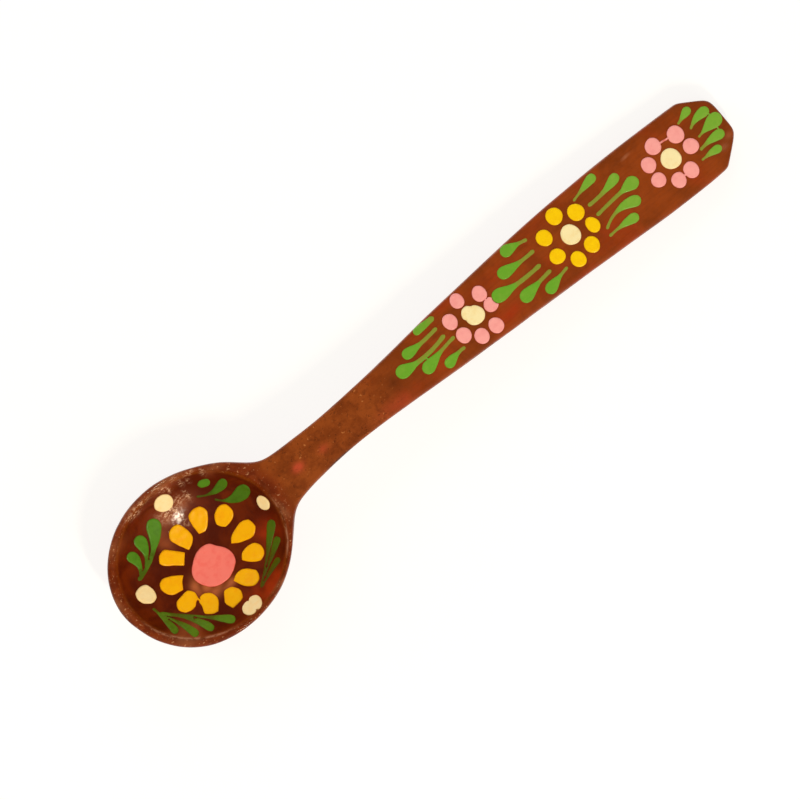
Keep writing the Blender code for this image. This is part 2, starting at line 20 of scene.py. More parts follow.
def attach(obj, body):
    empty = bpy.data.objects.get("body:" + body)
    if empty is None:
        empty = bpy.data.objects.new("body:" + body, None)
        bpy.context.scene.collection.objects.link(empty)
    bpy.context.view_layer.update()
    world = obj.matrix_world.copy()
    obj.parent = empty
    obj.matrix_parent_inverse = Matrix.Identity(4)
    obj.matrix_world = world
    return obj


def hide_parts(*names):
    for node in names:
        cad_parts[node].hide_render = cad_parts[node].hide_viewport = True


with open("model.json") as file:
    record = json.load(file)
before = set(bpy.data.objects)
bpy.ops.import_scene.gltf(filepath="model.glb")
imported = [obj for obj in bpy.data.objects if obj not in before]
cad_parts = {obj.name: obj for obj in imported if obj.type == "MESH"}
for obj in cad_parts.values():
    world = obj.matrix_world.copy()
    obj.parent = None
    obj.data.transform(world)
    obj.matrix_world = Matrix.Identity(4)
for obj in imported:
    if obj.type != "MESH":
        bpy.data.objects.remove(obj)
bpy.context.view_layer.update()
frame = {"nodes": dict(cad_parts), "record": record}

# Noise vectors are different in each run unless they have a seed.
noise.seed_set(1)

MM = 0.001
WOOD_LEVELS = 3

# ---------------------------------------------------------------- wood: the same cage as the CAD solid

# The bowl from above: an oval, with an oval hollow set a little towards the handle.
BOWL_LENGTH, BOWL_WIDTH = 62.0, 54.2
HOLLOW_LENGTH, HOLLOW_WIDTH = 57.8, 51.2
HOLLOW_SHIFT = 0.9
RIM_HEIGHT = 18.0
HOLLOW_DEPTH = 14.0

# Where the carver left the bowl's outline fuller or flatter than an oval: direction and spread in degrees,
# and amount.
SWELLS = ((240, 20, 0.024), (197, 16, -0.016), (48, 8, 0.034))

# The hollow's rings, as shares of its oval, and the two powers that shape its side.
HOLLOW_RINGS = (0.3, 0.55, 0.75, 0.9, 0.975)
HOLLOW_ROUND, HOLLOW_STEEP = 2.2, 0.62
# How much lower the hollow's lip is than the rim.
RIM_EDGE_DROP = 0.35

# The bowl's outside, from the rim down to the flat foot: share of the oval, height.
# The first four rows are also the height of the handle's root.
OUTSIDE = (
    (1.0, 17.6),
    (1.006, 15.3),
    (0.985, 11.8),
    (0.93, 8.6),
    (0.79, 5.3),
    (0.6, 2.5),
    (0.42, 0.8),
    (0.3, 0.0),
    (0.15, 0.0),
)
ROOT_ROWS = 4

# How many sectors the bowl has, and how many of them the handle grows from.
SECTORS = 24
ROOT_SECTORS = 6

# The handle, as stations from the root to the last one before its end:
# place along X, right edge, left edge, how far the middle stands out towards +X, thickness.
STATIONS = (
    (26.0, -15.4, 17.5, 6.2, 9.3),
    (30.0, -11.0, 13.6, 4.2, 9.1),
    (33.8, -7.4, 10.6, 2.4, 8.8),
    (38.5, -6.1, 9.75, 1.0, 8.4),
    (47.0, -5.1, 9.35, 0.0, 8.0),
    (60.0, -4.35, 9.0, 0.0, 7.7),
    (78.0, -5.25, 9.75, 0.0, 7.4),
    (98.0, -7.0, 11.55, 0.0, 7.2),
    (122.0, -8.6, 12.95, 0.0, 7.0),
    (148.0, -10.1, 14.35, 0.0, 6.8),
    (172.0, -11.8, 14.5, 0.0, 6.6),
    (192.0, -13.3, 13.9, 0.0, 6.5),
    (204.0, -13.5, 13.3, 0.0, 6.4),
)

# The handle's end is cut in three flats: a square one across the tip and two slanting ones.
END_RIGHT_X, END_LEFT_X, END_TIP_X = 209.8, 210.0, 219.1
END_RIGHT, END_LEFT = -13.3, 12.9
END_THICKNESS = 6.4
# How far before the end the last ring but one is, and how sharp the tip's two corners are.
END_EDGE = 2.0
END_CREASE = 0.25

# Places across the handle, from its right edge to its left one. The two corners of the tip are on the third
# and the fifth.
ACROSS = (-1.0, -0.84, -0.45, 0.0, 0.58, 0.86, 1.0)
TIP_CORNERS = (2, 4)
# The rows down each side as shares of the thickness, how far they bulge, how far the top is crowned.
SIDE_ROWS = (0.3, 0.7)
SIDE_BULGE = 0.35
TOP_CROWN = 0.5


def oval_point(length, width, share, sector, shift=0.0):
    """A point of an oval ring. Rings are drawn slightly large, because subdivision pulls them in."""
    angle = 2 * math.pi * sector / SECTORS
    grow = 3 / (2 + math.cos(2 * math.pi / SECTORS))
    x = shift + length / 2 * share * grow * math.cos(angle)
    y = width / 2 * share * grow * math.sin(angle)
    return x, y


def outside_point(share, sector):
    """A point of the bowl's outside, with the carver's swells."""
    x, y = oval_point(BOWL_LENGTH, BOWL_WIDTH, share, sector)
    degrees = 360 * (sector % SECTORS) / SECTORS
    swell = sum(amount * math.exp(-(((degrees - place) / spread) ** 2)) for place, spread, amount in SWELLS)
    return x * (1 + swell), y * (1 + swell)


def hollow_height(share):
    return RIM_HEIGHT - HOLLOW_DEPTH * (1 - share**HOLLOW_ROUND) ** HOLLOW_STEEP


def handle_top(x):
    """The middle of the handle's top, a straight slope from the rim to the end."""
    start = BOWL_LENGTH / 2
    fall = (RIM_HEIGHT - END_THICKNESS) / (END_TIP_X - start)
    return RIM_HEIGHT - fall * (x - start)


def bowl_rings(bm):
    """Rings of vertices from the hollow over the rim to the foot, and the index of the first outside row."""
    sectors = range(SECTORS)
    rings = []
    for share in HOLLOW_RINGS:
        points = (oval_point(HOLLOW_LENGTH, HOLLOW_WIDTH, share, s, HOLLOW_SHIFT) for s in sectors)
        rings.append([bm.verts.new((x, y, hollow_height(share))) for x, y in points])
    edge = [oval_point(HOLLOW_LENGTH, HOLLOW_WIDTH, 1.0, s, HOLLOW_SHIFT) for s in sectors]
    brim = [outside_point(1.0, s) for s in sectors]
    rings.append([bm.verts.new((x, y, RIM_HEIGHT - RIM_EDGE_DROP)) for x, y in edge])
    land = [((a + c) / 2, (b + d) / 2) for (a, b), (c, d) in zip(edge, brim)]
    rings.append([bm.verts.new((x, y, RIM_HEIGHT)) for x, y in land])
    first_row = len(rings)
    for share, height in OUTSIDE:
        points = (outside_point(share, s) for s in sectors)
        rings.append([bm.verts.new((x, y, height)) for x, y in points])
    return rings, first_row


def root_ring(rings, first_row):
    """The loop of bowl vertices that the handle grows from, in the order of a handle section."""
    half = ROOT_SECTORS // 2
    rows = rings[first_row : first_row + ROOT_ROWS]
    columns = range(-half, half + 1)
    top = [rows[0][c] for c in columns]
    for vertex in top[1:-1]:
        vertex.co.z = RIM_HEIGHT
    bottom = [rows[-1][c] for c in reversed(columns)]
    left = [row[half] for row in rows[1:-1]]
    right = [row[-half] for row in reversed(rows[1:-1])]
    return top + left + bottom + right


def section_ring(bm, xs, ys, top, thickness):
    """One loop round the handle: over the top from right to left, down, back underneath and up again."""
    count = len(ACROSS)
    over = [(xs[i], ys[i], top + TOP_CROWN * (1 - ACROSS[i] ** 2)) for i in range(count)]
    under = [(xs[i], ys[i], top - thickness) for i in reversed(range(count))]
    left = [(xs[-1], ys[-1] + SIDE_BULGE, top - thickness * share) for share in SIDE_ROWS]
    right = [(xs[0], ys[0] - SIDE_BULGE, top - thickness * share) for share in reversed(SIDE_ROWS)]
    return [bm.verts.new(p) for p in over + left + under + right]


def end_point(i):
    """Where the handle's end is, at one of the places across it."""
    place = ACROSS[i]
    on_right = place < 0
    side_x = END_RIGHT_X if on_right else END_LEFT_X
    corner = abs(ACROSS[TIP_CORNERS[0 if on_right else 1]])
    share = min(1.0, (1 - abs(place)) / (1 - corner))
    return side_x + (END_TIP_X - side_x) * share


def handle_rings(bm):
    rings = []
    for x, right, left, reach, thickness in STATIONS:
        middle, half = (left + right) / 2, (left - right) / 2
        xs = [x + reach * (1 - v * v) for v in ACROSS]
        ys = [middle + half * v for v in ACROSS]
        rings.append(section_ring(bm, xs, ys, handle_top(x), thickness))
    middle, half = (END_LEFT + END_RIGHT) / 2, (END_LEFT - END_RIGHT) / 2
    ys = [middle + half * v for v in ACROSS]
    for back in (END_EDGE, 0.0):
        xs = [end_point(i) - back for i in range(len(ACROSS))]
        ring = section_ring(bm, xs, ys, 0.0, END_THICKNESS)
        for vertex in ring:
            vertex.co.z += handle_top(vertex.co.x)
        rings.append(ring)
    return rings


def bridge(bm, ring_a, ring_b, skip=()):
    """Quads between two rings of equal length, leaving out the spans in skip."""
    count = len(ring_a)
    for i in range(count):
        if i in skip:
            continue
        j = (i + 1) % count
        bm.faces.new((ring_a[i], ring_a[j], ring_b[j], ring_b[i]))


def close_end(bm, ring, crease):
    """The three upright flats at the handle's end, as a grid between the last ring's top and bottom."""
    count = len(ACROSS)
    rows_inside = len(SIDE_ROWS)
    top = ring[:count]
    left = ring[count : count + rows_inside]
    bottom = list(reversed(ring[count + rows_inside : 2 * count + rows_inside]))
    right = list(reversed(ring[2 * count + rows_inside :]))
    grid = [top]
    for row in range(rows_inside):
        share = SIDE_ROWS[row]
        inner = [bm.verts.new(top[i].co.lerp(bottom[i].co, share)) for i in range(1, count - 1)]
        grid.append([right[row], *inner, left[row]])
    grid.append(bottom)
    for above, below in zip(grid, grid[1:]):
        for i in range(count - 1):
            bm.faces.new((above[i], above[i + 1], below[i + 1], below[i]))
    for above, below in zip(grid, grid[1:]):
        for i in TIP_CORNERS:
            bm.edges.get((above[i], below[i]))[crease] = END_CREASE


def wood_cage():
    """The wood's coarse cage as a mesh, in metres."""
    bm = bmesh.new()
    crease = bm.edges.layers.float.new("crease_edge")
    rings, first_row = bowl_rings(bm)
    half = ROOT_SECTORS // 2
    window = [s % SECTORS for s in range(-half, half)]
    for i, (ring_a, ring_b) in enumerate(zip(rings, rings[1:])):
        in_root = first_row <= i < first_row + ROOT_ROWS - 1
        bridge(bm, ring_a, ring_b, window if in_root else ())
    for ring, height in ((rings[0], hollow_height(0.0)), (rings[-1], 0.0)):
        centre = sum((v.co for v in ring), Vector()) / len(ring)
        pole = bm.verts.new((centre.x, centre.y, height))
        for i in range(SECTORS):
            bm.faces.new((ring[i], ring[(i + 1) % SECTORS], pole))
    loops = [root_ring(rings, first_row), *handle_rings(bm)]
    for ring_a, ring_b in zip(loops, loops[1:]):
        bridge(bm, ring_a, ring_b)
    close_end(bm, loops[-1], crease)
    bmesh.ops.delete(bm, geom=[v for v in bm.verts if not v.link_faces], context="VERTS")
    bmesh.ops.recalc_face_normals(bm, faces=bm.faces)
    bmesh.ops.scale(bm, vec=(MM, MM, MM), verts=bm.verts)
    mesh = bpy.data.meshes.new("wood_cage")
    bm.to_mesh(mesh)
    bm.free()
    return mesh


# ---------------------------------------------------------------- small helpers


def smooth_step(low, high, value):
    share = max(0.0, min(1.0, (value - low) / (high - low)))
    return share * share * (3 - 2 * share)


def new_piece(name, mesh, material, slot, *nodes):
    """A finished piece: it gets its material, rides on the one body and stands for its CAD nodes."""
    obj = bpy.data.objects.new(name, mesh)
    bpy.context.scene.collection.objects.link(obj)
    obj.data.materials.append(material)
    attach(obj, "root")
    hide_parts(*nodes)
    return obj


def store(mesh, name, values):
    """Keeps one number per vertex for the material."""
    layer = mesh.attributes.new(name, "FLOAT", "POINT")
    layer.data.foreach_set("value", values)


# ---------------------------------------------------------------- node building


# Where the Mix node has its colours among its inputs and outputs.
MIX_A, MIX_B, MIX_RESULT = 6, 7, 2


class Nodes:
    """Short names for building one material's node tree."""

    def __init__(self, name):
        self.material = bpy.data.materials.new(name)
        self.material.use_nodes = True
        self.tree = self.material.node_tree
        self.shader = self.tree.nodes["Principled BSDF"]
        self.place = self.tree.nodes.new("ShaderNodeTexCoord").outputs["Object"]

    def link(self, source, target):
        self.tree.links.new(source, target)

    def fill(self, socket, value):
        """Sets a socket to a number or colour, or links it to another node's output."""
        if isinstance(value, bpy.types.NodeSocket):
            self.link(value, socket)
        elif isinstance(value, tuple) and socket.type == "RGBA":
            socket.default_value = (*value, 1.0)
        else:
            socket.default_value = value

    def attribute(self, name):
        node = self.tree.nodes.new("ShaderNodeAttribute")
        node.attribute_name = name
        return node.outputs["Fac"]

    def scaled(self, size, offset=(0.0, 0.0, 0.0)):
        """Object coordinates divided by a grain size in millimetres, the same or different on each axis."""
        node = self.tree.nodes.new("ShaderNodeMapping")
        sizes = size if isinstance(size, tuple) else (size, size, size)
        node.inputs["Scale"].default_value = [1 / (s * MM) for s in sizes]
        node.inputs["Location"].default_value = offset
        self.link(self.place, node.inputs["Vector"])
        return node.outputs["Vector"]

    def noise(self, size, detail=3.0, roughness=0.5, distortion=0.0, offset=(0.0, 0.0, 0.0)):
        node = self.tree.nodes.new("ShaderNodeTexNoise")
        self.link(self.scaled(size, offset), node.inputs["Vector"])
        node.inputs["Scale"].default_value = 1.0
        node.inputs["Detail"].default_value = detail
        node.inputs["Roughness"].default_value = roughness
        node.inputs["Distortion"].default_value = distortion
        return node.outputs["Fac"]

    def ramp(self, value, low, high):
        """0 below low, 1 above high, and smooth between them."""
        node = self.tree.nodes.new("ShaderNodeMapRange")
        node.interpolation_type = "SMOOTHSTEP"
        self.link(value, node.inputs["Value"])
        node.inputs["From Min"].default_value = low
        node.inputs["From Max"].default_value = high
        return node.outputs["Result"]

    def math(self, operation, a, b):
        node = self.tree.nodes.new("ShaderNodeMath")
        node.operation = operation
        self.fill(node.inputs[0], a)
        self.fill(node.inputs[1], b)
        return node.outputs["Value"]

    def times(self, *values):
        result = values[0]
        for value in values[1:]:
            result = self.math("MULTIPLY", result, value)
        return result

    def mix(self, share, a, b):
        """Colour a, going over to colour b by share."""
        node = self.tree.nodes.new("ShaderNodeMix")
        node.data_type = "RGBA"
        self.fill(node.inputs["Factor"], share)
        self.fill(node.inputs[MIX_A], a)
        self.fill(node.inputs[MIX_B], b)
        return node.outputs[MIX_RESULT]

    def bump(self, height, distance, before=None):
        """A bump of that depth in millimetres, on top of another one."""
        node = self.tree.nodes.new("ShaderNodeBump")
        node.inputs["Distance"].default_value = distance * MM
        self.link(height, node.inputs["Height"])
        if before is not None:
            self.link(before, node.inputs["Normal"])
        return node.outputs["Normal"]

    def finish(self, **inputs):
        for name, value in inputs.items():
            self.fill(self.shader.inputs[name.replace("_", " ")], value)
        return self.material


# How bright a white surface is under the warm studio light, for red, green and blue.
LIGHT_TINT = (1.13, 1.02, 0.82)


def seen(*shades):
    """The linear colour that looks like this sRGB one, where 255 is white, under the studio's light."""
    result = []
    for shade, tint in zip(shades, LIGHT_TINT):
        c = shade / 255
        linear = c / 12.92 if c <= 0.04045 else ((c + 0.055) / 1.055) ** 2.4
        result.append(linear / tint)
    return tuple(result)


# ---------------------------------------------------------------- wood


def wood_material():
    """Red-brown stain over close-grained wood, under an uneven coat of clear varnish, with painted
    highlights and painted shade mixed into its colour.
    """
    n = Nodes("stained_wood")
    hollow, rim, neck, red = (n.attribute(name) for name in ("hollow", "rim", "neck", "red"))
    pale_and_highlight, wet, lip_highlight = (n.attribute(name) for name in ("pale_and_highlight", "wet", "lip_highlight"))
    painted_shade, painted_glints = (n.attribute(name) for name in ("painted_shade", "painted_glints"))
    patches = n.noise(15.0, detail=4.0, roughness=0.6, distortion=0.6)
    colour = n.mix(n.ramp(patches, 0.38, 0.62), seen(128, 52, 6), seen(150, 62, 12))
    blush = n.ramp(n.noise(17.0, detail=3.0, offset=(3.1, 0.4, 0.0)), 0.5, 0.68)
    colour = n.mix(n.math("MAXIMUM", red, n.times(blush, 0.5)), colour, seen(162, 50, 10))
    grain = n.noise((26.0, 0.9, 0.9), detail=5.0, roughness=0.65)
    colour = n.mix(n.times(n.ramp(grain, 0.45, 0.75), 0.3), colour, seen(98, 36, 4))
    clouds = n.ramp(n.noise(6.0, detail=5.0, roughness=0.6), 0.4, 0.62)
    matte = n.mix(clouds, seen(148, 68, 20), seen(126, 54, 12))
    colour = n.mix(neck, colour, matte)
    colour = n.mix(n.times(red, neck), colour, seen(190, 72, 40))
    mottle = n.ramp(n.noise(2.4, detail=4.0, roughness=0.7), 0.5, 0.72)
    colour = n.mix(n.times(mottle, n.math("ADD", 0.15, n.times(neck, 0.35))), colour, seen(94, 36, 6))
    pits = n.ramp(n.noise(1.4, detail=2.0, roughness=0.7), 0.62, 0.7)
    colour = n.mix(n.times(pits, neck, 0.35), colour, seen(84, 32, 6))
    scratches = n.ramp(n.noise((3.5, 0.7, 3.0), detail=4.0, roughness=0.7, distortion=1.6), 0.54, 0.66)
    colour = n.mix(n.times(scratches, neck, 0.35), colour, seen(96, 38, 6))
    # Paler patches: paler stain and wear in places, painted highlight round the bowl's highlight and on the
    # upper rim.
    colour = n.mix(n.times(pale_and_highlight, 0.6), colour, seen(196, 124, 84))
    scuffs = n.ramp(n.noise(1.0, detail=2.0, offset=(7.0, 2.0, 0.0)), 0.68, 0.76)
    colour = n.mix(n.times(scuffs, neck, 0.6), colour, seen(205, 124, 62))
    murky = n.noise(11.0, detail=4.0, roughness=0.6, distortion=0.8)
    inside = n.mix(n.ramp(murky, 0.4, 0.66), seen(84, 18, 0), seen(110, 33, 1))
    # Inside the hollow: paler patches, partly paler stain and partly painted highlight round the bowl's
    # highlight.
    inside = n.mix(n.times(pale_and_highlight, 0.9), inside, seen(196, 104, 56))
    inside = n.mix(n.times(red, 0.9), inside, seen(166, 48, 8))
    colour = n.mix(hollow, colour, inside)
    worn = n.mix(n.ramp(n.noise(3.0, detail=3.0), 0.4, 0.6), seen(107, 34, 3), seen(126, 47, 9))
    # On the rim: paler where the patches reach, partly wear and partly painted highlight along the upper
    # rim.
    worn = n.mix(pale_and_highlight, worn, seen(156, 92, 54))
    colour = n.mix(rim, colour, worn)
    chips = n.ramp(n.noise(0.8, detail=2.0, roughness=0.6), 0.62, 0.7)
    colour = n.mix(n.times(chips, rim, 0.6), colour, seen(214, 150, 100))
    broken_line = n.ramp(n.noise(3.0, detail=3.0, roughness=0.7), 0.36, 0.56)
    # Painted highlight: a broken pale line along the hollow's lip.
    colour = n.mix(n.times(lip_highlight, broken_line, 0.85), colour, seen(196, 132, 96))
    # Painted shade by the first spray, along the neck's lower edge and across the neck's root.
    colour = n.mix(n.times(painted_shade, 0.8), colour, seen(72, 26, 2))
    # Painted highlight: light flecks of the lamp's reflection in broken varnish.
    crackle = n.noise((1.1, 0.8, 0.8), detail=3.0, roughness=0.7, offset=(2.0, 8.0, 0.0))
    colour = n.mix(n.times(painted_glints, n.ramp(crackle, 0.48, 0.58)), colour, seen(240, 184, 138))
    rough = n.ramp(n.noise(4.0, detail=3.0), 0.3, 0.7)
    roughness = n.math("ADD", n.times(rough, 0.12), n.math("ADD", 0.4, n.times(neck, 0.15)))
    fibres = n.bump(n.noise((12.0, 0.45, 0.45), detail=3.0), 0.03)
    normal = n.bump(n.times(pits, neck), -0.12, fibres)
    orange_peel = n.bump(n.noise(1.5, detail=3.0, roughness=0.65), 0.09)
    broken = n.ramp(n.noise(1.0, detail=2.0, roughness=0.7, offset=(1.0, 5.0, 2.0)), 0.38, 0.52)
    gloss = n.math("SUBTRACT", n.math("SUBTRACT", 0.22, n.times(neck, 0.17)), n.times(hollow, 0.11))
    gloss = n.math("ADD", gloss, n.times(wet, 0.8))
    coat = n.times(gloss, n.math("ADD", 0.15, n.times(broken, 0.85)))
    return n.finish(
        Base_Color=colour,
        Roughness=roughness,
        Specular_IOR_Level=0.1,
        Normal=normal,
        Coat_Weight=coat,
        Coat_Roughness=0.06,
        Coat_Normal=orange_peel,
    )


# Where the stain is redder, and where it is paler: paler stain and wear in places, and painted highlight
# round the bowl's highlight and along its upper rim: x, y, how far it reaches along x and y, how strong it
# is.
RED_PATCHES = (
    (12, -21.5, 9, 3.2, 1.0),
    (22, -8, 4, 3.6, 0.9),
    (42.5, 1.5, 1.9, 1.5, 1.0),
    (52.5, 1, 1.6, 1.2, 0.6),
    (125, -4, 8, 3, 0.8),
    (128, 8, 12, 3, 0.5),
    (112, 11, 6, 2, 0.6),
    (82, -3.5, 8, 2.5, 0.7),
    (150, 12, 12, 2, 0.4),
)
PALE_AND_HIGHLIGHT_PATCHES = (
    (-7.5, -7, 1.8, 3, 0.9),
    (-3, -12, 4, 1.8, 0.9),
    (1, -13, 3, 1.2, 1.2),
    (-6, 12, 2.2, 4, 0.5),
    (0, 16.5, 4.5, 3, 0.5),
    (6, 17, 4, 2.5, 0.4),
    (-20, 20, 5, 3, 0.3),
    (-6, 26, 6, 2, 0.2),
    (8, 25.3, 7, 2.2, 0.5),
    (-30, 5, 1.3, 6, 0.4),
    (22.5, 19, 4, 2, 0.3),
    (15, -23.3, 5, 1.2, 0.4),
    (30, -6, 1.2, 4, 0.4),
    (-5, -9, 1.8, 1.8, 1.4),
    (186.5, 10.4, 1.4, 0.4, 0.7),
    (216, -5.6, 1.3, 1.0, 0.7),
    (213, -7.6, 1.5, 1.0, 0.4),
    (-19.5, -17, 5, 4, 0.5),
)
# Painted shade, darker: by the first spray, along the neck's lower edge and across the neck's root.
PAINTED_SHADE_PATCHES = (
    (83, 3, 2.5, 2.5, 0.6),
    (54.5, -4.9, 4.5, 0.35, 1.6),
    (30.3, 3, 0.6, 4, 0.5),
)
# Painted highlight: light flecks where the lamp's reflection in broken varnish is painted into the colour.
PAINTED_GLINT_PATCHES = (
    (1.5, 17.3, 3.6, 1.8, 1.2),
    (5.5, 17.8, 2, 1.3, 0.9),
    (3.2, 12, 0.8, 2, 0.9),
    (9.3, 17.5, 0.8, 1.6, 0.8),
    (-8.5, 23.6, 2.5, 0.7, 1.0),
    (-4, 24.8, 3, 0.6, 1.0),
    (3, 25.3, 1.5, 0.6, 1.0),
    (4.5, 24, 1.2, 0.6, 0.8),
    (6, 22.6, 0.8, 0.8, 0.8),
    (9, 24.3, 1.3, 0.6, 1.0),
    (10.3, 22, 0.6, 1.0, 1.0),
    (14, 22.6, 1.5, 0.7, 0.7),
    (12.6, 21, 0.6, 0.8, 0.7),
    (18, 20.3, 0.7, 1.2, 0.6),
)
# Where the varnish lies thickest.
WET_PATCHES = (
    (3.4, 14, 3, 4, 0.85),
    (0, 17, 5, 2.5, 0.8),
    (7, 17, 4, 2, 0.7),
    (-5, 24, 8, 2.5, 0.6),
    (8, 24, 8, 2.5, 0.7),
)
# The patches of the upper side by the name of their mask, with what makes each one ragged in its own way.
PATCHES = (
    ("red", RED_PATCHES, 4.0),
    ("pale_and_highlight", PALE_AND_HIGHLIGHT_PATCHES, 7.0),
    ("wet", WET_PATCHES, 9.0),
    ("painted_shade", PAINTED_SHADE_PATCHES, 11.0),
    ("painted_glints", PAINTED_GLINT_PATCHES, 13.0),
)
# The painted highlight along the hollow's lip, a pale line: its place and width as shares of the oval, and
# where its arcs start and how far round they go, in degrees.
LIP_PLACE = 0.995
LIP_WIDTH = 0.011
LIP_ARCS = ((185, 77), (318, 44))
# How far under the rim's height its wear begins and where it is full.
RIM_WEAR_START, RIM_WEAR_FULL = 3.0, 1.2
# Where along X the unvarnished neck begins and is full, and where it ends and is still full.
NECK_START, NECK_END = (26.0, 38.0), (92.0, 70.0)
# How deep the carving's broad and small unevenness is, and how far it all lies inside the CAD's surface.
KNIFE_BROAD, KNIFE_SMALL, KNIFE_INSET = 0.12, 0.04, 0.07


def patchy(x, y, patches, seed):
    """How strong ragged patches are at a place, from 0 to 1."""
    strength = 0.0
    for px, py, reach_x, reach_y, amount in patches:
        strength = max(strength, amount * math.exp(-(((x - px) / reach_x) ** 2) - ((y - py) / reach_y) ** 2))
    return max(0.0, min(1.0, strength * (1 + 0.9 * noise.noise(Vector((x / 3.5, y / 3.5, seed))))))


def wood_masks(mesh):
    """Where the hollow, rim, unvarnished neck, the lip's painted highlight and the patches are, as a number
    per vertex; some patches are painted highlights and painted shade.
    """
    masks = {name: [] for name in ("hollow", "rim", "neck", "lip_highlight")}
    masks |= {name: [] for name, *_ in PATCHES}
    for vertex in mesh.vertices:
        x, y, z = vertex.co / MM
        inner = math.hypot((x - HOLLOW_SHIFT) / (HOLLOW_LENGTH / 2), y / (HOLLOW_WIDTH / 2))
        above = hollow_height(min(inner, 1.0)) - 1.0
        is_inside = smooth_step(1.0, 0.955, inner) if z > above else 0.0
        outer = math.hypot(x / (BOWL_LENGTH / 2), y / (BOWL_WIDTH / 2))
        high = smooth_step(RIM_HEIGHT - RIM_WEAR_START, RIM_HEIGHT - RIM_WEAR_FULL, z)
        masks["hollow"].append(is_inside)
        masks["rim"].append(high * (1 - is_inside) * smooth_step(1.16, 1.02, outer))
        masks["neck"].append(smooth_step(*NECK_START, x) * smooth_step(*NECK_END, x))
        upward = smooth_step(-0.2, 0.1, vertex.normal.z)
        for name, patches, seed in PATCHES:
            masks[name].append(patchy(x, y, patches, seed) * upward)
        degrees = math.degrees(math.atan2(y, x))
        along = 0.0
        for start, length in LIP_ARCS:
            share = (degrees - start) % 360 / length
            along = max(along, smooth_step(0.0, 0.2, share) * smooth_step(1.0, 0.7, share))
        across = math.exp(-(((inner - LIP_PLACE) / LIP_WIDTH) ** 2))
        masks["lip_highlight"].append(along * across if z > RIM_HEIGHT - RIM_WEAR_START else 0.0)
    for name, values in masks.items():
        store(mesh, name, values)


def carve(mesh):
    """The slight unevenness that a knife and sandpaper leave, moved along the surface's normals."""
    normals = [v.normal.copy() for v in mesh.vertices]
    for vertex, normal in zip(mesh.vertices, normals):
        place = vertex.co / MM
        broad = noise.noise(Vector((place.x / 16, place.y / 7, place.z / 7)))
        small = noise.noise(Vector((place.x / 5, place.y / 4, place.z / 4)) + Vector((9, 4, 2)))
        rest = smooth_step(0.3, 2.0, place.z)
        height = KNIFE_BROAD * broad + KNIFE_SMALL * small - KNIFE_INSET
        vertex.co += normal * height * rest * MM


def make_wood():
    cage = bpy.data.objects.new("wood_cage", wood_cage())
    bpy.context.scene.collection.objects.link(cage)
    rounding = cage.modifiers.new("rounding", "SUBSURF")
    rounding.levels = rounding.render_levels = WOOD_LEVELS
    rounding.use_limit_surface = False
    graph = bpy.context.evaluated_depsgraph_get()
    mesh = bpy.data.meshes.new_from_object(cage.evaluated_get(graph))
    bpy.data.objects.remove(cage)
    mesh.name = "carved_wood"
    carve(mesh)
    mesh.shade_smooth()
    wood_masks(mesh)
    return new_piece("carved_wood", mesh, wood_material(), "wood", "spoon_body")


# ---------------------------------------------------------------- paint


# A face whose normal rises or falls less than this is upright.
UPRIGHT = 0.03


def cad_outlines(node):
    """The edges of a dab seen from above, as closed loops of (x, y) in millimetres, from its CAD solid."""
    bm = bmesh.new()
    bm.from_mesh(frame["nodes"][node].data)
    bmesh.ops.remove_doubles(bm, verts=bm.verts, dist=0.002 * MM)
    bm.normal_update()
    following = {}
    for edge in bm.edges:
        if len(edge.link_faces) != 2:
            continue
        top, side = sorted(edge.link_faces, key=lambda f: -f.normal.z)
        if top.normal.z > UPRIGHT and abs(side.normal.z) < UPRIGHT:
            loop = next(c for c in top.loops if c.edge is edge)
            following[loop.vert.index] = (loop.link_loop_next.vert.index, loop.vert.co / MM)
    loops = []
    while following:
        start = here = next(iter(following))
        outline = []
        while here in following:
            here, place = following.pop(here)
            outline.append(Vector((place.x, place.y)))
        if here == start:
            loops.append(outline)
    bm.free()
    return loops


def slope_at(before, here, after, edge):
    """The slope of a smooth curve at a corner, as long as one edge. A sharp corner keeps its edge's own."""
    arriving, leaving = (here - before).normalized(), (after - here).normalized()
    bend = smooth_step(0.1, 0.75, arriving.dot(leaving))
    return edge * (1 - bend) + (arriving + leaving) * (edge.length / 2 * bend)


def smooth_loop(points, step):
    """A closed curve through the points, cut into pieces of about one step."""
    count = len(points)
    result = []
    for i in range(count):
        a, b, c, d = (points[(i + k) % count] for k in (-1, 0, 1, 2))
        start_slope, end_slope = slope_at(a, b, c, c - b), slope_at(b, c, d, c - b)
        pieces = max(1, round((c - b).length / step))
        for k in range(pieces):
            t = k / pieces
            result.append(
                b * (2 * t**3 - 3 * t**2 + 1)
                + start_slope * (t**3 - 2 * t**2 + t)
                + c * (-2 * t**3 + 3 * t**2)
                + end_slope * (t**3 - t**2)
            )
    return result


def inside(x, y, loops):
    """Whether a place is inside an odd number of closed loops."""
    found = False
    for loop in loops:
        for a, b in zip(loop, loop[1:] + loop[:1]):
            if (a.y > y) != (b.y > y) and x < a.x + (b.x - a.x) * (y - a.y) / (b.y - a.y):
                found = not found
    return found


class Border:
    """Distances to a set of closed loops."""

    def __init__(self, loops):
        self.lines = []
        for loop in loops:
            self.lines += list(zip(loop, loop[1:] + loop[:1]))

    def distance(self, point):
        best = math.inf
        for a, b in self.lines:
            run = b - a
            share = max(0.0, min(1.0, (point - a).dot(run) / run.length_squared))
            best = min(best, (point - a - run * share).length_squared)
        return math.sqrt(best)


def inner_ring(loop, inset, border):
    """Points a little way inside a loop, left out where the shape is too thin for them."""
    ring = []
    for before, here, after in zip(loop[-1:] + loop[:-1], loop, loop[1:] + loop[:1]):
        along = (after - before).normalized()
        point = here + Vector((-along.y, along.x)) * inset
        if border.distance(point) > inset * RING_ROOM:
            ring.append(point)
    return ring


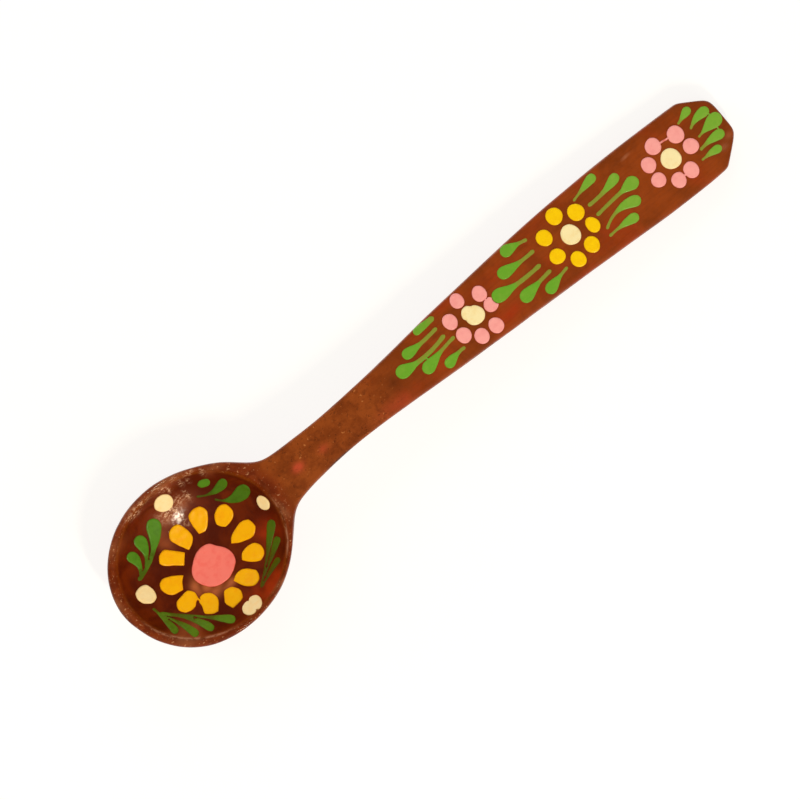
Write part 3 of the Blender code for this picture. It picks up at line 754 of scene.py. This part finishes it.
# The spacing of a dab's points, and of their rows as a share of it.
PAINT_STEP = 0.36
ROW_STEP = 0.87
# How far inside a dab's edge the rings along it lie, and the share of that which has to be free.
PAINT_RINGS = (0.12, 0.34)
RING_ROOM = 0.85
# How far a dab's edge is under the wood, how far it spreads past its CAD outline,
# and how wide its rounding is.
PAINT_SUNK = 0.1
PAINT_SPREAD = 0.07
PAINT_EDGE = 0.55
# How high dabs stand, and how far their edges wander.
STROKE_HEIGHT, DOT_HEIGHT = 0.22, 0.36
BOWL_WANDER, HANDLE_WANDER = 0.08, 0.05
# How far round a point its width is looked for, and the half widths where a stroke
# is thin and where it is full.
WIDTH_REACH = 2.0
NARROW, BROAD = 0.6, 1.6
# A height above the whole spoon, to look down from.
RAY_HEIGHT = 60.0
# Nearer to an edge than this, a point is on it. Nearer to another than this, a point is the same one.
ON_EDGE = 1e-3
SAME_POINT = 1e-5
# The way of filling that keeps only the triangles inside the edges.
INSIDE_ONLY = 1


def rough_loop(outline, wander, seed):
    """A dab's edge as a smooth curve that wanders a little, as a brush's does."""
    loop = smooth_loop(outline, PAINT_STEP)
    moved = []
    for before, point, after in zip(loop[-1:] + loop[:-1], loop, loop[1:] + loop[:1]):
        along = (after - before).normalized()
        shake = noise.noise_vector(Vector((point.x / 1.7, point.y / 1.7, seed)))
        outward = Vector((along.y, -along.x))
        moved.append(point + outward * PAINT_SPREAD + Vector((shake.x, shake.y)) * wander)
    return moved


def grid_points(loops, border):
    """Evenly spread points inside the loops, clear of the rings along their edges."""
    xs = [p.x for loop in loops for p in loop]
    ys = [p.y for loop in loops for p in loop]
    found, row, y = [], 0, min(ys)
    while y < max(ys):
        x = min(xs) + (row % 2) * PAINT_STEP / 2
        while x < max(xs):
            point = Vector((x, y))
            if inside(x, y, loops) and border.distance(point) > PAINT_RINGS[-1] + PAINT_STEP / 2:
                found.append(point)
            x += PAINT_STEP
        y += PAINT_STEP * ROW_STEP
        row += 1
    return found


# How often a filling is made again with more points, so that no side runs straight across from edge to edge:
# the top and the underside of a dab would meet there.
FILL_ROUNDS = 6


def filled(loops, border):
    """Points and triangles that fill the loops, and which of the points are on their edges."""
    points, edges = [], []
    for loop in loops:
        first = len(points)
        points += loop
        edges += [(first + i, first + (i + 1) % len(loop)) for i in range(len(loop))]
    for inset in PAINT_RINGS:
        for loop in loops:
            points += inner_ring(loop, inset, border)
    points += grid_points(loops, border)
    for _ in range(FILL_ROUNDS):
        made, _, faces, *_ = delaunay_2d_cdt(points, edges, [], INSIDE_ONLY, SAME_POINT)
        middles = [sum((made[i] for i in face), Vector((0, 0))) / 3 for face in faces]
        faces = [f for f, m in zip(faces, middles) if inside(m.x, m.y, loops)]
        on_edge = {i for face in faces for i in face if border.distance(made[i]) < ON_EDGE}
        sides = Counter(tuple(sorted(side)) for f in faces for side in zip(f, f[1:] + f[:1]))
        across = [side for side, count in sides.items() if count == 2 and on_edge.issuperset(side)]
        if not across:
            break
        points += [(made[a] + made[b]) / 2 for a, b in across]
    faces = [face for face in faces if not all(i in on_edge for i in face)]
    return made, faces, on_edge


def wood_at(wood, x, y):
    """The wood's surface and normal seen from above; paint past the very edge goes to the nearest wood."""
    place, normal, *_ = wood.ray_cast(Vector((x, y, RAY_HEIGHT)) * MM, Vector((0, 0, -1)))
    if place is None:
        place, normal, *_ = wood.find_nearest(Vector((x, y, handle_top(x))) * MM)
    return place, normal


def half_widths(points, border):
    """How wide the paint is round each point, measured from its middle line to its edge."""
    tree = KDTree(len(points))
    away = [border.distance(point) for point in points]
    for i, point in enumerate(points):
        tree.insert((*point, 0.0), i)
    tree.balance()
    return [max(away[k] for _, k, _ in tree.find_range((*point, 0.0), WIDTH_REACH)) for point in points]


def paint_mesh(name, outlines, wood, height, wander, seed):
    """A thick dab on the wood, rounded at its edge, uneven on top and sunk into the wood underneath."""
    loops = [rough_loop(outline, wander, seed) for outline in outlines]
    border = Border(loops)
    points, faces, on_edge = filled(loops, border)
    bm = bmesh.new()
    thick = bm.verts.layers.float.new("thick")
    broad = bm.verts.layers.float.new("broad")
    widths = half_widths(points, border)
    top, low = {}, {}
    for i in sorted({i for face in faces for i in face}):
        x, y = points[i]
        place, normal = wood_at(wood, x, y)
        if i in on_edge:
            top[i] = low[i] = bm.verts.new(place - normal * PAINT_SUNK * MM)
            continue
        wide = smooth_step(NARROW, BROAD, widths[i])
        share = min(1.0, border.distance(points[i]) / PAINT_EDGE)
        dome = math.sqrt(1 - (1 - share) ** 2)
        uneven = 1 + 0.25 * noise.noise(Vector((x / 1.6, y / 1.6, seed + 20)))
        rise = height * (0.5 + 0.5 * wide) * dome * uneven - PAINT_SUNK * (1 - dome)
        low[i] = bm.verts.new(place - normal * 2 * PAINT_SUNK * MM)
        top[i] = bm.verts.new(place + normal * rise * MM)
        top[i][thick] = dome
        top[i][broad] = wide
    for face in faces:
        bm.faces.new([top[i] for i in face])
        bm.faces.new([low[i] for i in reversed(face)])
    mesh = bpy.data.meshes.new(name)
    bm.to_mesh(mesh)
    bm.free()
    mesh.shade_smooth()
    return mesh


def paint_material(name, colour, shade, edge, tail):
    """Enamel: a little uneven, deeper in colour at its edge, and duller where a stroke runs out thin."""
    n = Nodes(name)
    thick, broad = n.attribute("thick"), n.attribute("broad")
    blotches = n.noise(2.4, detail=3.0, roughness=0.6)
    body = n.mix(n.ramp(blotches, 0.42, 0.7), seen(*colour), seen(*shade))
    streaks = n.noise((3.0, 0.6, 3.0), detail=3.0)
    uneven = n.math("MULTIPLY", n.math("SUBTRACT", streaks, 0.5), 0.5)
    body = n.mix(n.ramp(n.math("ADD", broad, uneven), 0.0, 0.9), seen(*tail), body)
    body = n.mix(n.ramp(thick, 0.35, 0.75), seen(*edge), body)
    fine = n.bump(n.noise(0.9, detail=2.0), 0.03)
    return n.finish(
        Base_Color=body,
        Roughness=0.38,
        Specular_IOR_Level=0.12,
        Normal=fine,
        Coat_Weight=0.12,
        Coat_Roughness=0.15,
    )


def slot_of(node):
    rows = frame["record"]["subparts"]
    return next(row["material_slot"] for row in rows if row["node"] == node)


def paint_materials():
    """Every enamel by the name that look_of gives."""
    rows = {
        "cream": ((258, 236, 172), (255, 226, 156), (238, 196, 128), (238, 196, 128)),
        "bowl_cream": ((269, 237, 170), (269, 230, 156), (250, 198, 120), (250, 198, 120)),
        "pink": ((257, 168, 155), (252, 158, 147), (232, 122, 106), (232, 122, 106)),
        "coral": ((268, 134, 116), (265, 122, 106), (244, 94, 72), (244, 94, 72)),
        "lemon": ((257, 205, 0), (253, 195, 0), (228, 150, 0), (228, 150, 0)),
        "orange": ((269, 192, 0), (267, 182, 0), (248, 140, 0), (248, 140, 0)),
        "green": ((108, 166, 40), (118, 169, 46), (96, 118, 26), (138, 144, 46)),
        "late_green": ((122, 171, 48), (132, 174, 54), (102, 122, 28), (138, 146, 46)),
        "leaf": ((86, 138, 28), (78, 126, 22), (72, 98, 12), (76, 92, 6)),
        "middle_leaf": ((76, 116, 18), (70, 106, 12), (68, 78, 6), (74, 84, 6)),
        "bottom_leaf": ((96, 134, 26), (90, 126, 20), (84, 92, 12), (86, 92, 6)),
        "right_leaf": ((76, 108, 12), (86, 104, 10), (78, 80, 6), (84, 78, 2)),
    }
    return {name: paint_material(f"{name}_enamel", *colours) for name, colours in rows.items()}


# The sprays whose green is yellower than the others'.
LATE_SPRAYS = ("far_spray", "end_spray")
LEAF_LOOKS = {
    "bowl_tip_left_leaves": "leaf",
    "bowl_neck_left_dab": "leaf",
    "bowl_neck_left_leaf": "middle_leaf",
    "bowl_neck_middle_leaf": "middle_leaf",
    "bowl_tip_right_leaves": "bottom_leaf",
    "bowl_neck_right_leaves": "right_leaf",
}


def look_of(node, slot):
    """Which enamel a node has. The bowl's own yellow and greens are deeper than the handle's."""
    in_bowl = node.startswith("bowl")
    if slot == "paint_yellow":
        return "orange" if in_bowl else "lemon"
    if slot == "paint_cream" and in_bowl:
        return "bowl_cream"
    if node.startswith(LATE_SPRAYS):
        return "late_green"
    return LEAF_LOOKS.get(node, slot.removeprefix("paint_"))


def make_paint(wood_piece):
    """One fine dab for each painted CAD solid."""
    bm = bmesh.new()
    bm.from_mesh(wood_piece.data)
    wood = BVHTree.FromBMesh(bm)
    bm.free()
    paints = paint_materials()
    for seed, node in enumerate(sorted(frame["nodes"])):
        slot = slot_of(node)
        if slot == "wood":
            continue
        height = STROKE_HEIGHT if slot == "paint_green" else DOT_HEIGHT
        wander = BOWL_WANDER if node.startswith("bowl") else HANDLE_WANDER
        mesh = paint_mesh(node, cad_outlines(node), wood, height, wander, seed)
        new_piece(f"{node}_paint", mesh, paints[look_of(node, slot)], slot, node)


# ---------------------------------------------------------------- camera, light and floor


# The camera looks straight down. Its turn about the vertical, the middle and width of its view, how far it
# is above the level where the view has that width, and that level's height.
VIEW_TURN = math.radians(-40.0)
VIEW_CENTRE = (81.15, -2.93)
VIEW_WIDTH = 255.9
VIEW_DISTANCE = 3000.0
VIEW_PLANE = 12.0
SENSOR = 36.0
# In metres, well past the floor.
FAR_END = 20.0


def make_camera():
    data = bpy.data.cameras.new("camera")
    data.sensor_width = SENSOR
    data.lens = SENSOR * VIEW_DISTANCE / VIEW_WIDTH
    data.clip_end = FAR_END
    camera = bpy.data.objects.new("camera", data)
    camera.location = Vector((*VIEW_CENTRE, VIEW_PLANE + VIEW_DISTANCE)) * MM
    camera.rotation_euler = (0.0, 0.0, VIEW_TURN)
    bpy.context.scene.collection.objects.link(camera)
    bpy.context.scene.camera = camera


# The colours of the lights and of the room round them.
WHITE = (1.0, 1.0, 1.0)
WARM = (1.0, 0.88, 0.66)
ROOM_COLOUR = (1.0, 0.84, 0.56, 1.0)
ROOM_STRENGTH = 0.45


def area_light(name, direction, distance, width, height, power, colour, mirrored=True):
    """A softbox that looks at the middle of the spoon. Distance and sizes in metres."""
    data = bpy.data.lights.new(name, "AREA")
    data.shape = "RECTANGLE"
    data.size = width
    data.size_y = height
    data.energy = power
    data.color = colour
    light = bpy.data.objects.new(name, data)
    aim = Vector((*VIEW_CENTRE, 0.0)) * MM
    away = Vector(direction).normalized()
    light.location = aim + away * distance
    light.rotation_euler = away.to_track_quat("Z", "Y").to_euler()
    light.visible_glossy = mirrored
    bpy.context.scene.collection.objects.link(light)


def make_lights():
    """A narrow warm lamp that the varnish mirrors, three soft fills that it doesn't, a dim room."""
    area_light("key", (-0.13, -0.7, 0.7), 1.6, 0.09, 0.32, 12.0, WARM)
    area_light("fill_front", (0.1, -0.9, 0.4), 1.8, 1.0, 1.0, 8.0, WHITE, mirrored=False)
    area_light("fill_left", (-0.5, 0.8, 0.45), 1.8, 1.0, 1.0, 9.0, WHITE, mirrored=False)
    area_light("fill_right", (0.5, 0.8, 0.45), 1.8, 1.0, 1.0, 9.0, WHITE, mirrored=False)
    world = bpy.data.worlds.new("studio")
    world.use_nodes = True
    room = world.node_tree.nodes["Background"].inputs
    room["Color"].default_value = ROOM_COLOUR
    room["Strength"].default_value = ROOM_STRENGTH
    bpy.context.scene.world = world
    bpy.context.scene.view_settings.view_transform = "Standard"


# Just under the spoon, so that its foot and the floor never lie in the same plane.
FLOOR_HEIGHT = -0.05
# Half its width.
FLOOR_HALF = 3000.0
FLOOR_GREY = (0.25, 0.25, 0.25)
FLOOR_GLOW = 0.8


def make_floor():
    """The white sheet that the spoon lies on, which glows a little."""
    bm = bmesh.new()
    bmesh.ops.create_grid(bm, x_segments=1, y_segments=1, size=FLOOR_HALF * MM)
    mesh = bpy.data.meshes.new("floor")
    bm.to_mesh(mesh)
    bm.free()
    n = Nodes("white_paper")
    n.finish(Base_Color=FLOOR_GREY, Roughness=0.9, Emission_Color=WHITE, Emission_Strength=FLOOR_GLOW)
    floor = bpy.data.objects.new("floor", mesh)
    floor.location.z = FLOOR_HEIGHT * MM
    floor.data.materials.append(n.material)
    bpy.context.scene.collection.objects.link(floor)


make_camera()
make_lights()
make_floor()
make_paint(make_wood())
